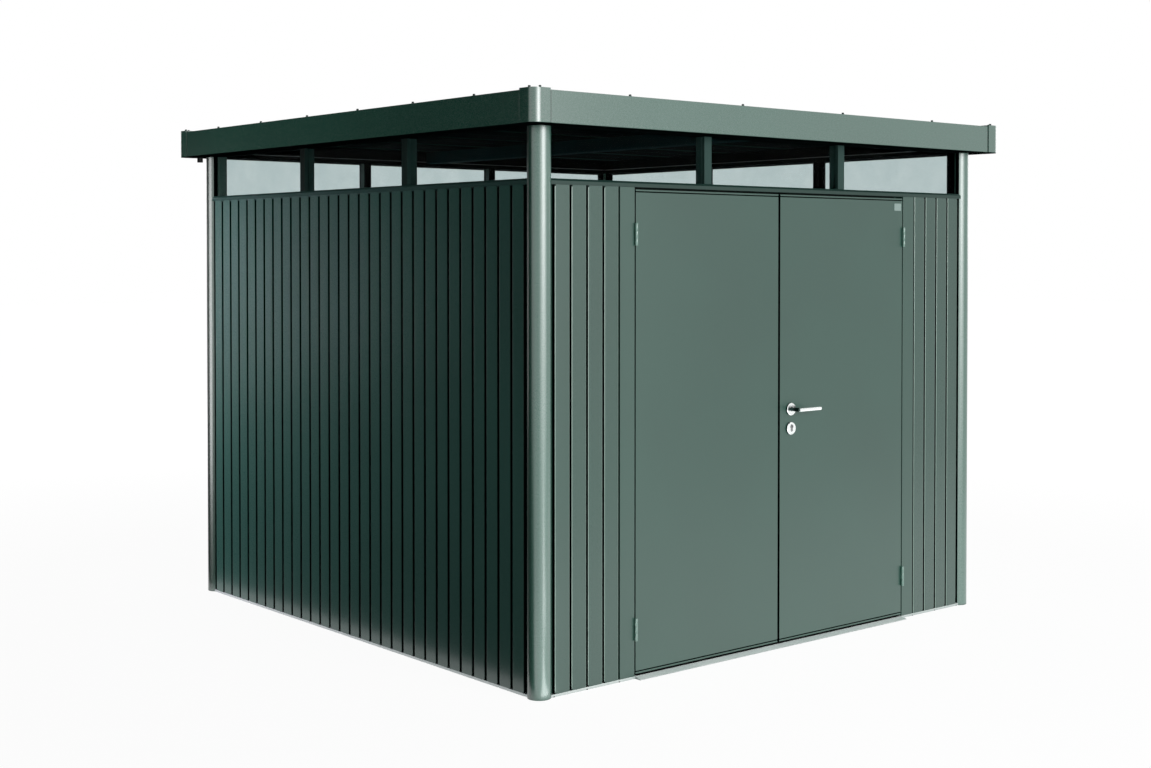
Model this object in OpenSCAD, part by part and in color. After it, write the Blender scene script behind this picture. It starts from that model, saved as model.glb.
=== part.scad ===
// Flat-roofed metal storage shed with a glazed band under the roof and a double door.
// Millimetres. The origin is on the ground at the centre of the plan.
// +X runs along the door front to the right, +Y runs to the rear and +Z points up.

/* [Walls] */
// Width of one wall panel, from joint to joint
panel_pitch = 160; // [130:1:200]
// Number of panels in each side wall
side_panels = 15; // [8:1:20]
// Number of panels in the rear wall
rear_panels = 15; // [8:1:20]
// Number of panels on each side of the door
front_panels = 2; // [1:1:4]
// Depth of a folded wall panel
panel_depth = 20; // [14:1:24]
// Thickness of the panel sheet
sheet_t = 1; // [0.6:0.1:1.5]
// Width of the open joint between two panels
joint_gap = 6; // [5:0.5:10]
// Width of the groove pressed down the middle of a panel
bead_w = 6; // [4:0.5:12]
// Depth of the wall framing behind the outer face
wall_depth = 62; // [54:1:90]

/* [Heights] */
// Height of the ledge that the panels stand on
ledge_z = 10; // [8:1:30]
// Height of the underside of the wall top rail
rail_z = 1879; // [1700:1:2200]
// Height of the wall top rail
rail_h = 22; // [18:1:40]
// Height of the glazed band
glass_h = 189; // [120:1:400]
// Height of the head beam over the glazed band
beam_h = 70; // [50:1:100]

/* [Corner posts] */
// Radius of the round corner post
post_r = 44; // [42:0.5:48]
// How far the post stands proud of the wall faces
post_proud = 13; // [11:0.5:15]
// Wall thickness of the post
post_wall = 2.5; // [2:0.1:4]

/* [Door] */
// Width of the doorway between the centres of the two hinge gaps
door_w = 1600; // [1200:1:2000]
// Face width of each door jamb, from gap to joint
jamb_w = 80; // [60:1:120]
// Thickness of a door leaf
leaf_t = 38; // [30:1:44]
// Gap between the two leaves
meeting_gap = 7; // [6.5:0.1:10]
// Gap between a leaf and its jamb
hinge_gap = 6; // [5.5:0.1:8]
// Gap over and under a leaf
leaf_gap = 8; // [6:0.1:12]
// Height of the sill at the leaf
sill_h = 10; // [6:0.5:13]
// How far the sill stands out from the wall
sill_out = 30; // [20:1:50]
// How far the frame's stop reaches behind a leaf
stop_w = 25; // [15:1:40]

/* [Hinges and handle] */
// Height of a hinge barrel
hinge_h = 86; // [60:1:120]
// Radius of a hinge barrel
barrel_r = 6; // [5.5:0.1:7]
// Height of the lower hinge centre
hinge_low_z = 190; // [120:1:400]
// Height of the upper hinge centre
hinge_high_z = 1700; // [1200:1:1780]
// Height of the lever handle
lever_z = 980; // [850:1:1100]
// Distance from the middle of the door to the lever's pivot
lever_x = 70; // [50:1:100]
// Length of the lever
lever_len = 130; // [100:1:160]
// Distance from the leaf to the middle of the lever
lever_out = 55; // [45:1:70]
// Radius of the lever bar
lever_r = 8; // [6:0.5:10]
// Radius of the round roses
rose_r = 26; // [22:0.5:32]
// Distance from the lever's pivot down to the lock cylinder
lock_drop = 80; // [70:1:95]

/* [Roof] */
// Overhang of the roof edge beyond the wall faces
overhang = 99; // [80:1:200]
// Height of the fascia
fascia_h = 120; // [100:1:180]
// Thickness of the fascia profile
fascia_t = 2; // [1.5:0.1:3]
// Width of the fascia's top flange
flange_w = 60; // [45:1:70]
// Length of each leg of a roof corner cap
cap_leg = 80; // [60:1:110]
// Outer radius of a roof corner cap
cap_r = 35; // [20:1:50]
// How far a corner cap rises over the fascia
cap_rise = 6; // [4:0.5:12]
// Number of roof sheets from front to rear
roof_sheets = 6; // [4:1:8]
// Height of the roof sheets' seams
seam_h = 24; // [16:1:30]
// Outer radius of a drain spigot
spigot_r = 13.5; // [10:0.5:16]
// Length of a drain spigot under its collar
spigot_len = 20; // [15:1:40]

/* [Hidden] */
$fn = 64;
overrun = 5;
seat_clear = 0.2;
cope_clear = 0.4;

// Corner post, and the distance from the last panel joint to the wall face round the corner
post_in = post_r - post_proud;
post_gap = 1;
corner_w = post_in + post_r + post_gap;
groove_in = 3;
groove_w = 15;
neck_in = post_in + post_r - groove_w;
heel_in = panel_depth + seat_clear;

// Plan of the walls
run_d = side_panels * panel_pitch;
run_w = door_w + 2 * (jamb_w + front_panels * panel_pitch);
rear_pitch = run_w / rear_panels;
half_w = run_w / 2 + corner_w;
half_d = run_d / 2 + corner_w;

// Levels
panel_h = rail_z - ledge_z;
glass_z = rail_z + rail_h;
beam_z = glass_z + glass_h;
deck_z = beam_z + beam_h;
fascia_top = beam_z + fascia_h;

// Sheet folds
bend_r = 6;
bend_share = 0.45;
bend_steps = 4;
bead_back = 4;
bead_depth = panel_depth - bead_back;
lap = 18;
relief_w = 6;
relief_h = 6;
relief_depth = 6;

// Flange of an end panel, which lies in the post's groove
post_lap = corner_w + joint_gap / 2 - neck_in - cope_clear;

// Base rail
rail_t = 3;
base_in = 60;
upstand_top = 40;
anchor_r = 5;
anchor_in = 45;
anchor_end = 88;
weep_r = 4;

// Wall top rail
rail_proud = 3;
sill_slope = 8;
rail_in = 56;
rail_wall = 2.5;
rail_drop = 25;

// Glazing
mullion_w = 40;
mullion_front = 13;
mullion_x = 400;
glass_t = 4;
glass_in = 28;

// Door frame and leaves
jamb_depth = 47;
jamb_wall = 2;
stop_t = 3;
head_drop = 34;
head_foot = 13;
sill_edge = 3;
sill_in = 60;
stop_bottom = max(ledge_z, sill_h);
leaf_x = door_w / 2 - hinge_gap / 2;
jamb_x = door_w / 2 + hinge_gap / 2;
jamb_end = door_w / 2 + jamb_w - joint_gap / 2;
leaf_bottom = sill_h + leaf_gap;
leaf_top = rail_z - leaf_gap;
leaf_w = leaf_x - meeting_gap / 2;
edge_groove = 4;
edge_strip = 7;

// Hinges
barrel_clear = 1;
barrel_out = barrel_r + barrel_clear;
pin_r = 3;
pin_clear = 0.1;
knuckle_clear = 0.5;
strap_t = 2;
strap_end = 34;
strap_front = 1.5;
knuckle_h = hinge_h / 3;

// Handle set
spindle_r = 4.5;
spindle_hole_r = 9.5;
rose_h = 8;
rose_chamfer = 2;
rose_clear = 0.6;
plug_r = 8.5;
plug_bar_w = 10;
plug_bar_drop = 16;
plug_clear = 0.4;
plug_proud = 1.5;

// Roof
beam_front = 10;
beam_in = 65;
beam_wall = 3;
purlin_w = 80;
purlin_drop = 12;
sheet_over = 50;
seam_side = 6;
seam_lip = 8;
seam_upstand = 3;
roof_rib_w = 40;
roof_rib_slope = 14;
roof_rib_h = 18;
cap_t = 3;
cap_gap = 5;
cap_cut = cap_r + cap_t;
spigot_wall = 2;
collar_w = 7;
collar_t = 2;
spigot_side = 10;
spigot_x = half_w + spigot_side;
spigot_y = half_d + overhang / 2;

// Colours
wall_green = [0.28, 0.36, 0.33];
roof_green = [0.40, 0.48, 0.44];
door_green = [0.30, 0.38, 0.35];
bare_metal = [0.72, 0.76, 0.74];
polished = [0.86, 0.87, 0.87];
inner_grey = [0.22, 0.26, 0.25];
glazing = [0.72, 0.78, 0.78, 0.4];
black_plastic = [0.05, 0.05, 0.05];

// Each side is named by its turn from the front, in degrees anticlockwise
front_deg = 0;
right_deg = 90;
rear_deg = 180;
left_deg = 270;
function faces_y(side_deg) = side_deg % 180 == 0;
function half_along(side_deg) = faces_y(side_deg) ? half_w : half_d;
function half_across(side_deg) = faces_y(side_deg) ? half_d : half_w;

// Wall frame: X along the wall, the outer face at Y zero and +Y inwards
module on_wall(side_deg) {
    rotate([0, 0, side_deg])
        translate([0, -half_across(side_deg), 0])
            children();
}

// Corner frame: the corner of the wall faces at the origin, +X and +Y inwards
module at_corner(right, rear, out = 0) {
    mirror([right, 0, 0])
        mirror([0, rear, 0])
            translate([-half_w - out, -half_d - out, 0])
                children();
}

// A profile drawn in wall depth and height, extruded along the wall
module along_wall(length) {
    rotate([90, 0, 90])
        linear_extrude(height = length, center = true)
            children();
}

// Folded sheet: a path of outer corners becomes a closed outline of the sheet
function unit(v) = v / norm(v);
function left_of(v) = [-v[1], v[0]];
function short_turn(a) = a > 180 ? a - 360 : a < -180 ? a + 360 : a;
function fold(a, b, c) =
    let(
        u = unit(a - b),
        w = unit(c - b),
        half_angle = acos(u * w) / 2,
        room = bend_share * min(norm(a - b), norm(c - b)),
        r = min(bend_r, room * tan(half_angle)),
        centre = b + unit(u + w) * r / sin(half_angle),
        first = b + u * r / tan(half_angle) - centre,
        last = b + w * r / tan(half_angle) - centre,
        start = atan2(first[1], first[0]),
        turn = short_turn(atan2(last[1], last[0]) - start)
    )
    [for (i = [0 : bend_steps])
        centre + r * [cos(start + turn * i / bend_steps), sin(start + turn * i / bend_steps)]];
function folded(path) = concat(
    [path[0]],
    [for (i = [1 : len(path) - 2]) each fold(path[i - 1], path[i], path[i + 1])],
    [path[len(path) - 1]]
);
function shifted(path, t) =
    [for (i = [0 : len(path) - 1])
        let(
            before = unit(i > 0 ? path[i] - path[i - 1] : path[1] - path[0]),
            after = unit(i < len(path) - 1 ? path[i + 1] - path[i] : path[i] - path[i - 1]),
            n0 = left_of(before),
            n1 = left_of(after)
        )
        path[i] + t * (n0 + n1) / (1 + n0 * n1)];
function sheet_outline(path, t) =
    let(far_side = shifted(path, t), last = len(path) - 1)
    concat(path, [for (i = [last : -1 : 0]) far_side[i]]);

// Wall panels: each one laps behind the next, and the end ones lap against the posts
function panel_face(edge) = [
    [-edge, 0],
    [-bead_w / 2, 0],
    [-bead_w / 2, bead_depth],
    [bead_w / 2, bead_depth],
    [bead_w / 2, 0],
    [edge, 0]
];
function left_edge(edge, at_post) =
    at_post
    ? [[-edge - post_lap, panel_depth - sheet_t], [-edge, panel_depth - sheet_t]]
    : [[-edge, panel_depth - sheet_t - seat_clear]];
function right_edge(edge, at_post) =
    let(reach = at_post ? post_lap : lap)
    [[edge, panel_depth - sheet_t], [edge + reach, panel_depth - sheet_t]];
function panel_path(edge, left_post, right_post) =
    concat(left_edge(edge, left_post), panel_face(edge), right_edge(edge, right_post));

// Corner reliefs at both ends of the folds on the right of each flat
module panel_reliefs(edge) {
    for (x = [-bead_w / 2, edge], z = [-overrun, panel_h - relief_h])
        translate([x - relief_w, -overrun, z])
            cube([relief_w, relief_depth + overrun, relief_h + overrun]);
}

module panel_row(first_x, count, pitch, from_post) {
    edge = (pitch - joint_gap) / 2;
    for (i = [0 : count - 1])
        translate([first_x + (i + 0.5) * pitch, 0, ledge_z])
            difference() {
                linear_extrude(height = panel_h)
                    polygon(sheet_outline(
                        folded(panel_path(edge, from_post && i == 0, i == count - 1)), sheet_t));
                panel_reliefs(edge);
            }
}

module side_wall(side_deg) {
    color(wall_green)
        on_wall(side_deg)
            panel_row(-run_d / 2, side_panels, panel_pitch, true);
}

module rear_wall() {
    color(wall_green)
        on_wall(rear_deg)
            panel_row(-run_w / 2, rear_panels, rear_pitch, true);
}

module front_wall_part(mirrored) {
    color(wall_green)
        on_wall(front_deg)
            mirror([mirrored, 0, 0])
                panel_row(door_w / 2 + jamb_w, front_panels, panel_pitch, false);
}

// Corner posts: round tubes with a square heel inside and a groove for each wall's last panel
module both_walls() {
    children();
    mirror([1, -1, 0])
        children();
}

module post_outline(grow) {
    heel = heel_in - grow;
    difference() {
        union() {
            translate([post_in, post_in])
                circle(r = post_r + grow);
            translate([heel, heel])
                square(post_in + post_r + grow - heel);
        }
        both_walls()
            translate([neck_in + grow, groove_in + grow])
                square([corner_w, heel - groove_in - grow]);
        translate([wall_depth + grow, wall_depth + grow])
            square(corner_w);
    }
}

module corner_post(right, rear) {
    color(roof_green)
        at_corner(right, rear)
            linear_extrude(height = beam_z)
                difference() {
                    post_outline(0);
                    post_outline(-post_wall);
                }
}

// The room that the two posts of a side take out of its rails
module post_copes(side_deg, from_z, to_z) {
    for (m = [0, 1])
        mirror([m, 0, 0])
            translate([-half_along(side_deg), 0, from_z - overrun])
                linear_extrude(height = to_z - from_z + 2 * overrun)
                    post_outline(cope_clear);
}

// Base rails: a ledge for the panels, an upstand behind them, a foot with anchor holes and weep notches
module base_profile() {
    difference() {
        union() {
            square([panel_depth + rail_t, ledge_z]);
            square([base_in, rail_t]);
            translate([panel_depth, 0])
                square([rail_t, upstand_top]);
        }
        translate([rail_t, rail_t])
            square([panel_depth - rail_t, ledge_z - 2 * rail_t]);
    }
}

module base_rail(from_x, to_x, anchors, joints) {
    difference() {
        translate([(from_x + to_x) / 2, 0, 0])
            along_wall(to_x - from_x)
                base_profile();
        for (x = anchors)
            translate([x, anchor_in, -overrun])
                cylinder(r = anchor_r, h = rail_t + 2 * overrun);
        for (x = joints)
            translate([x, rail_t, 0])
                rotate([90, 0, 0])
                    cylinder(r = weep_r, h = rail_t + overrun);
    }
}

module base_rail_long(side_deg, count, pitch, anchor_x) {
    reach = half_along(side_deg) - base_in;
    color(bare_metal)
        on_wall(side_deg)
            difference() {
                base_rail(-reach, reach, anchor_x, [for (i = [0 : count]) (i - count / 2) * pitch]);
                post_copes(side_deg, 0, upstand_top);
            }
}

module base_rail_side(side_deg) {
    base_rail_long(side_deg, side_panels, panel_pitch, []);
}

module base_rail_rear() {
    anchor_x = half_w - base_in - anchor_end;
    base_rail_long(rear_deg, rear_panels, rear_pitch, [-anchor_x, anchor_x]);
}

module base_rail_front() {
    reach = half_w - base_in;
    first_joint = door_w / 2 + jamb_w;
    color(bare_metal)
        on_wall(front_deg)
            for (m = [0, 1])
                mirror([m, 0, 0])
                    difference() {
                        base_rail(door_w / 2, reach, [reach - anchor_end],
                            [for (i = [0 : front_panels]) first_joint + i * panel_pitch]);
                        translate([door_w / 2 - overrun, 0, ledge_z])
                            cube([jamb_end + seat_clear + overrun - door_w / 2, base_in, upstand_top]);
                        post_copes(front_deg, 0, upstand_top);
                    }
}

// Sill: a low ramp under the door leaves
module door_sill() {
    color(bare_metal)
        on_wall(front_deg)
            along_wall(door_w)
                polygon([
                    [-sill_out, 0],
                    [-sill_out, sill_edge],
                    [0, sill_h],
                    [sill_in, sill_h],
                    [sill_in, 0]
                ]);
}

// Wall top rails: a hollow profile with a sloped outer edge and a flange behind the panels
function rail_nose() = [
    [-rail_proud, rail_z],
    [-rail_proud, glass_z - sill_slope],
    [sill_slope - rail_proud, glass_z],
    [panel_depth, glass_z],
    [panel_depth, rail_z]
];

module top_rail(side_deg) {
    reach = half_along(side_deg) - rail_in;
    chamber_in = panel_depth + rail_wall;
    drop_z = rail_z - rail_drop;
    frame_end = jamb_end + seat_clear;
    color(wall_green)
        on_wall(side_deg)
            difference() {
                union() {
                    along_wall(2 * reach)
                        polygon(rail_nose());
                    translate([-reach, panel_depth, rail_z])
                        cube([2 * reach, rail_in - panel_depth, rail_h]);
                    translate([-reach, panel_depth, drop_z])
                        cube([2 * reach, rail_t, rail_drop]);
                }
                post_copes(side_deg, drop_z, glass_z);
                if (side_deg == front_deg)
                    translate([-frame_end, 0, drop_z - overrun])
                        cube([2 * frame_end, rail_in, rail_drop + overrun]);
                translate([-reach - overrun, chamber_in, rail_z + rail_wall])
                    cube([2 * (reach + overrun), rail_in - chamber_in - rail_wall, rail_h - 2 * rail_wall]);
            }
}

// Glazing: mullions and panes between the top rail and the head beam
module mullion_pair() {
    for (end = [-1, 1])
        translate([end * mullion_x - mullion_w / 2, mullion_front, glass_z])
            cube([mullion_w, wall_depth - mullion_front, glass_h]);
}

module window_mullions() {
    color(wall_green)
        for (side_deg = [front_deg, right_deg, rear_deg, left_deg])
            on_wall(side_deg)
                mullion_pair();
}

module window_panes(side_deg) {
    reach = half_along(side_deg) - post_in - post_r - cope_clear;
    inner = mullion_x - mullion_w / 2;
    outer = mullion_x + mullion_w / 2;
    color(glazing)
        on_wall(side_deg)
            for (bay = [[-reach, -outer], [-inner, inner], [outer, reach]])
                translate([bay[0], glass_in, glass_z])
                    cube([bay[1] - bay[0], glass_t, glass_h]);
}

// Head beams: hollow box sections over the glazing, front and rear ones run over the posts
module head_beam(side_deg) {
    over_posts = faces_y(side_deg);
    reach = half_along(side_deg) - (over_posts ? beam_front : beam_in);
    color(inner_grey)
        on_wall(side_deg)
            translate([0, beam_front, beam_z])
                along_wall(2 * reach)
                    difference() {
                        square([beam_in - beam_front, beam_h]);
                        translate([beam_wall, beam_wall])
                            square([beam_in - beam_front - 2 * beam_wall, beam_h - 2 * beam_wall]);
                    }
}

module roof_purlin() {
    reach = half_d - beam_in;
    color(inner_grey)
        translate([-purlin_w / 2, -reach, beam_z + purlin_drop])
            cube([purlin_w, 2 * reach, beam_h - purlin_drop]);
}

// Roof deck: trays from side to side, each seam capping the next tray's upstand
function tray_path(pitch) = [
    [-pitch / 2 + sheet_t, seam_h - seam_upstand],
    [-pitch / 2 + sheet_t, 0],
    [-roof_rib_w / 2 - roof_rib_slope, 0],
    [-roof_rib_w / 2, roof_rib_h],
    [roof_rib_w / 2, roof_rib_h],
    [roof_rib_w / 2 + roof_rib_slope, 0],
    [pitch / 2 - seam_side, 0],
    [pitch / 2 - seam_side, seam_h],
    [pitch / 2 + seam_side + sheet_t, seam_h],
    [pitch / 2 + seam_side + sheet_t, seam_h - seam_lip]
];

module roof_deck() {
    reach = half_w + sheet_over;
    pitch = 2 * (half_d + sheet_over) / roof_sheets;
    color(inner_grey)
        for (i = [0 : roof_sheets - 1])
            translate([0, (i + 0.5 - roof_sheets / 2) * pitch, deck_z])
                along_wall(2 * reach)
                    polygon(sheet_outline(folded(tray_path(pitch)), sheet_t));
}

// Fascia: a folded channel whose foot closes the eaves and whose top flange covers the deck edge
function fascia_path() = [
    [cap_t - overhang + flange_w, fascia_top],
    [cap_t - overhang, fascia_top],
    [cap_t - overhang, beam_z],
    [beam_front, beam_z]
];

function mitre_plan(corner_x) =
    let(
        x0 = corner_x - cap_cut,
        y0 = cap_cut - overhang,
        inner = corner_x - overhang - beam_in
    )
    [
        [-x0, -overhang - overrun], [x0, -overhang - overrun], [x0, y0],
        [inner, beam_in], [-inner, beam_in], [-x0, y0]
    ];

// Shadow gap in the fascia's face beside each corner cap
module cap_slots(corner_x) {
    slot_x = corner_x - cap_leg - cap_gap / 2;
    for (end = [-1, 1])
        translate([end * slot_x - cap_gap / 2, -overhang - overrun, beam_z + fascia_t])
            cube([cap_gap, overrun + cap_t + fascia_t, fascia_h]);
}

module fascia_blank(side_deg) {
    corner_x = half_along(side_deg) + overhang;
    on_wall(side_deg)
        difference() {
            intersection() {
                along_wall(2 * corner_x)
                    polygon(sheet_outline(fascia_path(), fascia_t));
                translate([0, 0, beam_z - overrun])
                    linear_extrude(height = fascia_h + 2 * overrun)
                        polygon(mitre_plan(corner_x));
            }
            cap_slots(corner_x);
        }
}

module fascia(side_deg) {
    color(roof_green)
        fascia_blank(side_deg);
}

module fascia_rear() {
    color(roof_green)
        difference() {
            fascia_blank(rear_deg);
            for (end = [-1, 1])
                translate([end * spigot_x, spigot_y, beam_z - overrun])
                    cylinder(r = spigot_r - spigot_wall, h = fascia_t + 2 * overrun);
        }
}

// Corner caps: rounded angles that close the fascia's corners
module cap_outline(inset, leg) {
    r = cap_r - inset;
    translate([inset + r, inset + r])
        circle(r = r);
    translate([inset + r, inset])
        square([leg - inset - r, leg - inset]);
    translate([inset, inset + r])
        square([leg - inset, leg - inset - r]);
}

module corner_cap() {
    top = fascia_top + cap_rise;
    translate([0, 0, beam_z])
        linear_extrude(height = top - beam_z)
            difference() {
                cap_outline(0, cap_leg);
                cap_outline(cap_t, cap_leg + overrun);
            }
    translate([0, 0, top - cap_t])
        linear_extrude(height = cap_t)
            cap_outline(0, cap_leg);
    translate([0, 0, beam_z])
        linear_extrude(height = fascia_t)
            intersection() {
                cap_outline(0, cap_leg);
                square(cap_cut);
            }
}

module roof_corner_caps() {
    color(roof_green)
        for (right = [0, 1], rear = [0, 1])
            at_corner(right, rear, overhang)
                corner_cap();
}

module drain_spigots() {
    color(black_plastic)
        for (end = [-1, 1])
            translate([end * spigot_x, spigot_y, beam_z])
                mirror([0, 0, 1])
                    difference() {
                        union() {
                            cylinder(r = spigot_r, h = collar_t + spigot_len);
                            cylinder(r = spigot_r + collar_w, h = collar_t);
                        }
                        translate([0, 0, -overrun])
                            cylinder(r = spigot_r - spigot_wall, h = collar_t + spigot_len + 2 * overrun);
                    }
}

// Door frame
module jamb() {
    translate([0, 0, ledge_z])
        linear_extrude(height = panel_h) {
            difference() {
                translate([jamb_x, 0])
                    square([jamb_end - jamb_x, jamb_depth]);
                translate([jamb_x + jamb_wall, jamb_wall])
                    square([jamb_end - jamb_x - 2 * jamb_wall, jamb_depth - 2 * jamb_wall]);
            }
            translate([jamb_end, panel_depth - sheet_t])
                square([lap, sheet_t]);
        }
    translate([jamb_x - stop_w, jamb_depth - stop_t, stop_bottom])
        cube([stop_w, stop_t, rail_z - stop_bottom]);
}

module door_jambs() {
    color(door_green)
        on_wall(front_deg)
            for (m = [0, 1])
                mirror([m, 0, 0])
                    jamb();
}

module door_head() {
    color(door_green)
        on_wall(front_deg)
            along_wall(2 * (jamb_x - stop_w))
                translate([jamb_depth - stop_t, rail_z - head_drop]) {
                    square([stop_t, head_drop]);
                    translate([0, head_drop - stop_t])
                        square([stop_t + head_foot, stop_t]);
                }
}

// Hinges: three knuckles on one pin, the outer two on the frame
module hinge_frame_half() {
    translate([0, -barrel_out, 0]) {
        for (z = [0, 2 * knuckle_h])
            translate([0, 0, z]) {
                cylinder(r = barrel_r, h = knuckle_h);
                translate([hinge_gap / 2 - strap_t, 0, 0])
                    cube([strap_t, barrel_out + strap_front, knuckle_h]);
            }
        cylinder(r = pin_r, h = hinge_h);
    }
    translate([hinge_gap / 2 - strap_t, strap_front, 0])
        cube([strap_t, strap_end - strap_front, hinge_h]);
}

module hinge_leaf_half() {
    height = knuckle_h - 2 * knuckle_clear;
    difference() {
        translate([0, -barrel_out, knuckle_h + knuckle_clear]) {
            cylinder(r = barrel_r, h = height);
            translate([-hinge_gap / 2, 0, 0])
                cube([strap_t, barrel_out + strap_front, height]);
        }
        translate([0, -barrel_out, 0])
            cylinder(r = pin_r + pin_clear, h = hinge_h);
    }
    translate([-hinge_gap / 2, strap_front, 0])
        cube([strap_t, strap_end - strap_front, hinge_h]);
}

module at_hinges() {
    for (z = [hinge_low_z, hinge_high_z])
        translate([door_w / 2, 0, z - hinge_h / 2])
            children();
}

module frame_hinges() {
    color(bare_metal)
        on_wall(front_deg)
            for (m = [0, 1])
                mirror([m, 0, 0])
                    at_hinges()
                        hinge_frame_half();
}

module door_hinges(mirrored) {
    color(bare_metal)
        on_wall(front_deg)
            mirror([mirrored, 0, 0])
                at_hinges()
                    hinge_leaf_half();
}

// Door leaves: closed double-skinned slabs with a groove along the head and the foot
module leaf_slab() {
    difference() {
        translate([meeting_gap / 2, 0, leaf_bottom])
            cube([leaf_w, leaf_t, leaf_top - leaf_bottom]);
        for (z = [leaf_bottom + edge_strip, leaf_top - edge_strip - edge_groove])
            translate([-overrun, -overrun, z])
                cube([leaf_x + 2 * overrun, overrun + edge_groove, edge_groove]);
    }
}

module left_door_leaf() {
    color(door_green)
        on_wall(front_deg)
            mirror([1, 0, 0])
                leaf_slab();
}

module right_door_leaf() {
    color(door_green)
        on_wall(front_deg)
            difference() {
                leaf_slab();
                translate([lever_x, -overrun, lever_z])
                    rotate([-90, 0, 0])
                        cylinder(r = spindle_hole_r, h = leaf_t + 2 * overrun);
            }
}

// Handle set: roses and lever on both faces of the right leaf
module on_both_faces() {
    children();
    translate([0, leaf_t, 0])
        mirror([0, 1, 0])
            children();
}

module rose_disc() {
    rotate([90, 0, 0])
        rotate_extrude()
            polygon([
                [0, 0],
                [rose_r, 0],
                [rose_r, rose_h - rose_chamfer],
                [rose_r - rose_chamfer, rose_h],
                [0, rose_h]
            ]);
}

module plug_outline(grow) {
    circle(r = plug_r + grow);
    translate([-plug_bar_w / 2 - grow, -plug_bar_drop])
        square([plug_bar_w + 2 * grow, plug_bar_drop]);
    translate([0, -plug_bar_drop])
        circle(r = plug_bar_w / 2 + grow);
}

module handle_roses() {
    color(polished)
        on_wall(front_deg)
            on_both_faces() {
                translate([lever_x, 0, lever_z])
                    difference() {
                        rose_disc();
                        translate([0, overrun, 0])
                            rotate([90, 0, 0])
                                cylinder(r = lever_r + rose_clear, h = rose_h + 2 * overrun);
                    }
                translate([lever_x, 0, lever_z - lock_drop])
                    difference() {
                        rose_disc();
                        translate([0, overrun, plug_bar_drop / 2])
                            rotate([90, 0, 0])
                                linear_extrude(height = rose_h + 2 * overrun)
                                    plug_outline(plug_clear);
                    }
            }
}

module lock_cylinder() {
    color(bare_metal)
        on_wall(front_deg)
            on_both_faces()
                translate([lever_x, 0, lever_z - lock_drop + plug_bar_drop / 2])
                    rotate([90, 0, 0])
                        linear_extrude(height = rose_h + plug_proud)
                            plug_outline(0);
}

// Lever: a round bar with a mitred corner and a rounded end
module past_mitre(to_bar) {
    translate([0, -lever_out, 0])
        rotate([0, 0, 45])
            translate([-lever_out, to_bar ? -2 * lever_out : 0, -lever_out])
                cube(2 * lever_out);
}

module lever() {
    difference() {
        rotate([90, 0, 0])
            cylinder(r = lever_r, h = lever_out + lever_r);
        past_mitre(true);
    }
    difference() {
        translate([-lever_r, -lever_out, 0])
            rotate([0, 90, 0])
                cylinder(r = lever_r, h = lever_len);
        past_mitre(false);
    }
    translate([lever_len - lever_r, -lever_out, 0])
        sphere(r = lever_r);
}

module lever_handle() {
    color(polished)
        on_wall(front_deg)
            translate([lever_x, 0, lever_z]) {
                on_both_faces()
                    lever();
                rotate([-90, 0, 0])
                    cylinder(r = spindle_r, h = leaf_t);
            }
}

base_rail_front();
base_rail_side(left_deg);  // base_rail_left
base_rail_side(right_deg);  // base_rail_right
base_rail_rear();
door_sill();
corner_post(0, 0);  // corner_post_front_left
corner_post(1, 0);  // corner_post_front_right
corner_post(0, 1);  // corner_post_rear_left
corner_post(1, 1);  // corner_post_rear_right
front_wall_part(1);  // front_wall_left
front_wall_part(0);  // front_wall_right
side_wall(left_deg);  // left_wall
side_wall(right_deg);  // right_wall
rear_wall();
top_rail(front_deg);  // top_rail_front
top_rail(left_deg);  // top_rail_left
top_rail(right_deg);  // top_rail_right
top_rail(rear_deg);  // top_rail_rear
door_jambs();
door_head();
frame_hinges();
window_mullions();
window_panes(front_deg);  // glass_front
window_panes(left_deg);  // glass_left
window_panes(right_deg);  // glass_right
window_panes(rear_deg);  // glass_rear
head_beam(front_deg);  // head_beam_front
head_beam(left_deg);  // head_beam_left
head_beam(right_deg);  // head_beam_right
head_beam(rear_deg);  // head_beam_rear
roof_purlin();
roof_deck();
fascia(front_deg);  // fascia_front
fascia(left_deg);  // fascia_left
fascia(right_deg);  // fascia_right
fascia_rear();
roof_corner_caps();
drain_spigots();
left_door_leaf();
door_hinges(1);  // left_door_hinges
right_door_leaf();
door_hinges(0);  // right_door_hinges
handle_roses();
lock_cylinder();
lever_handle();
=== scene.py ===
import math

import bpy
from mathutils import Matrix, Vector


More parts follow.
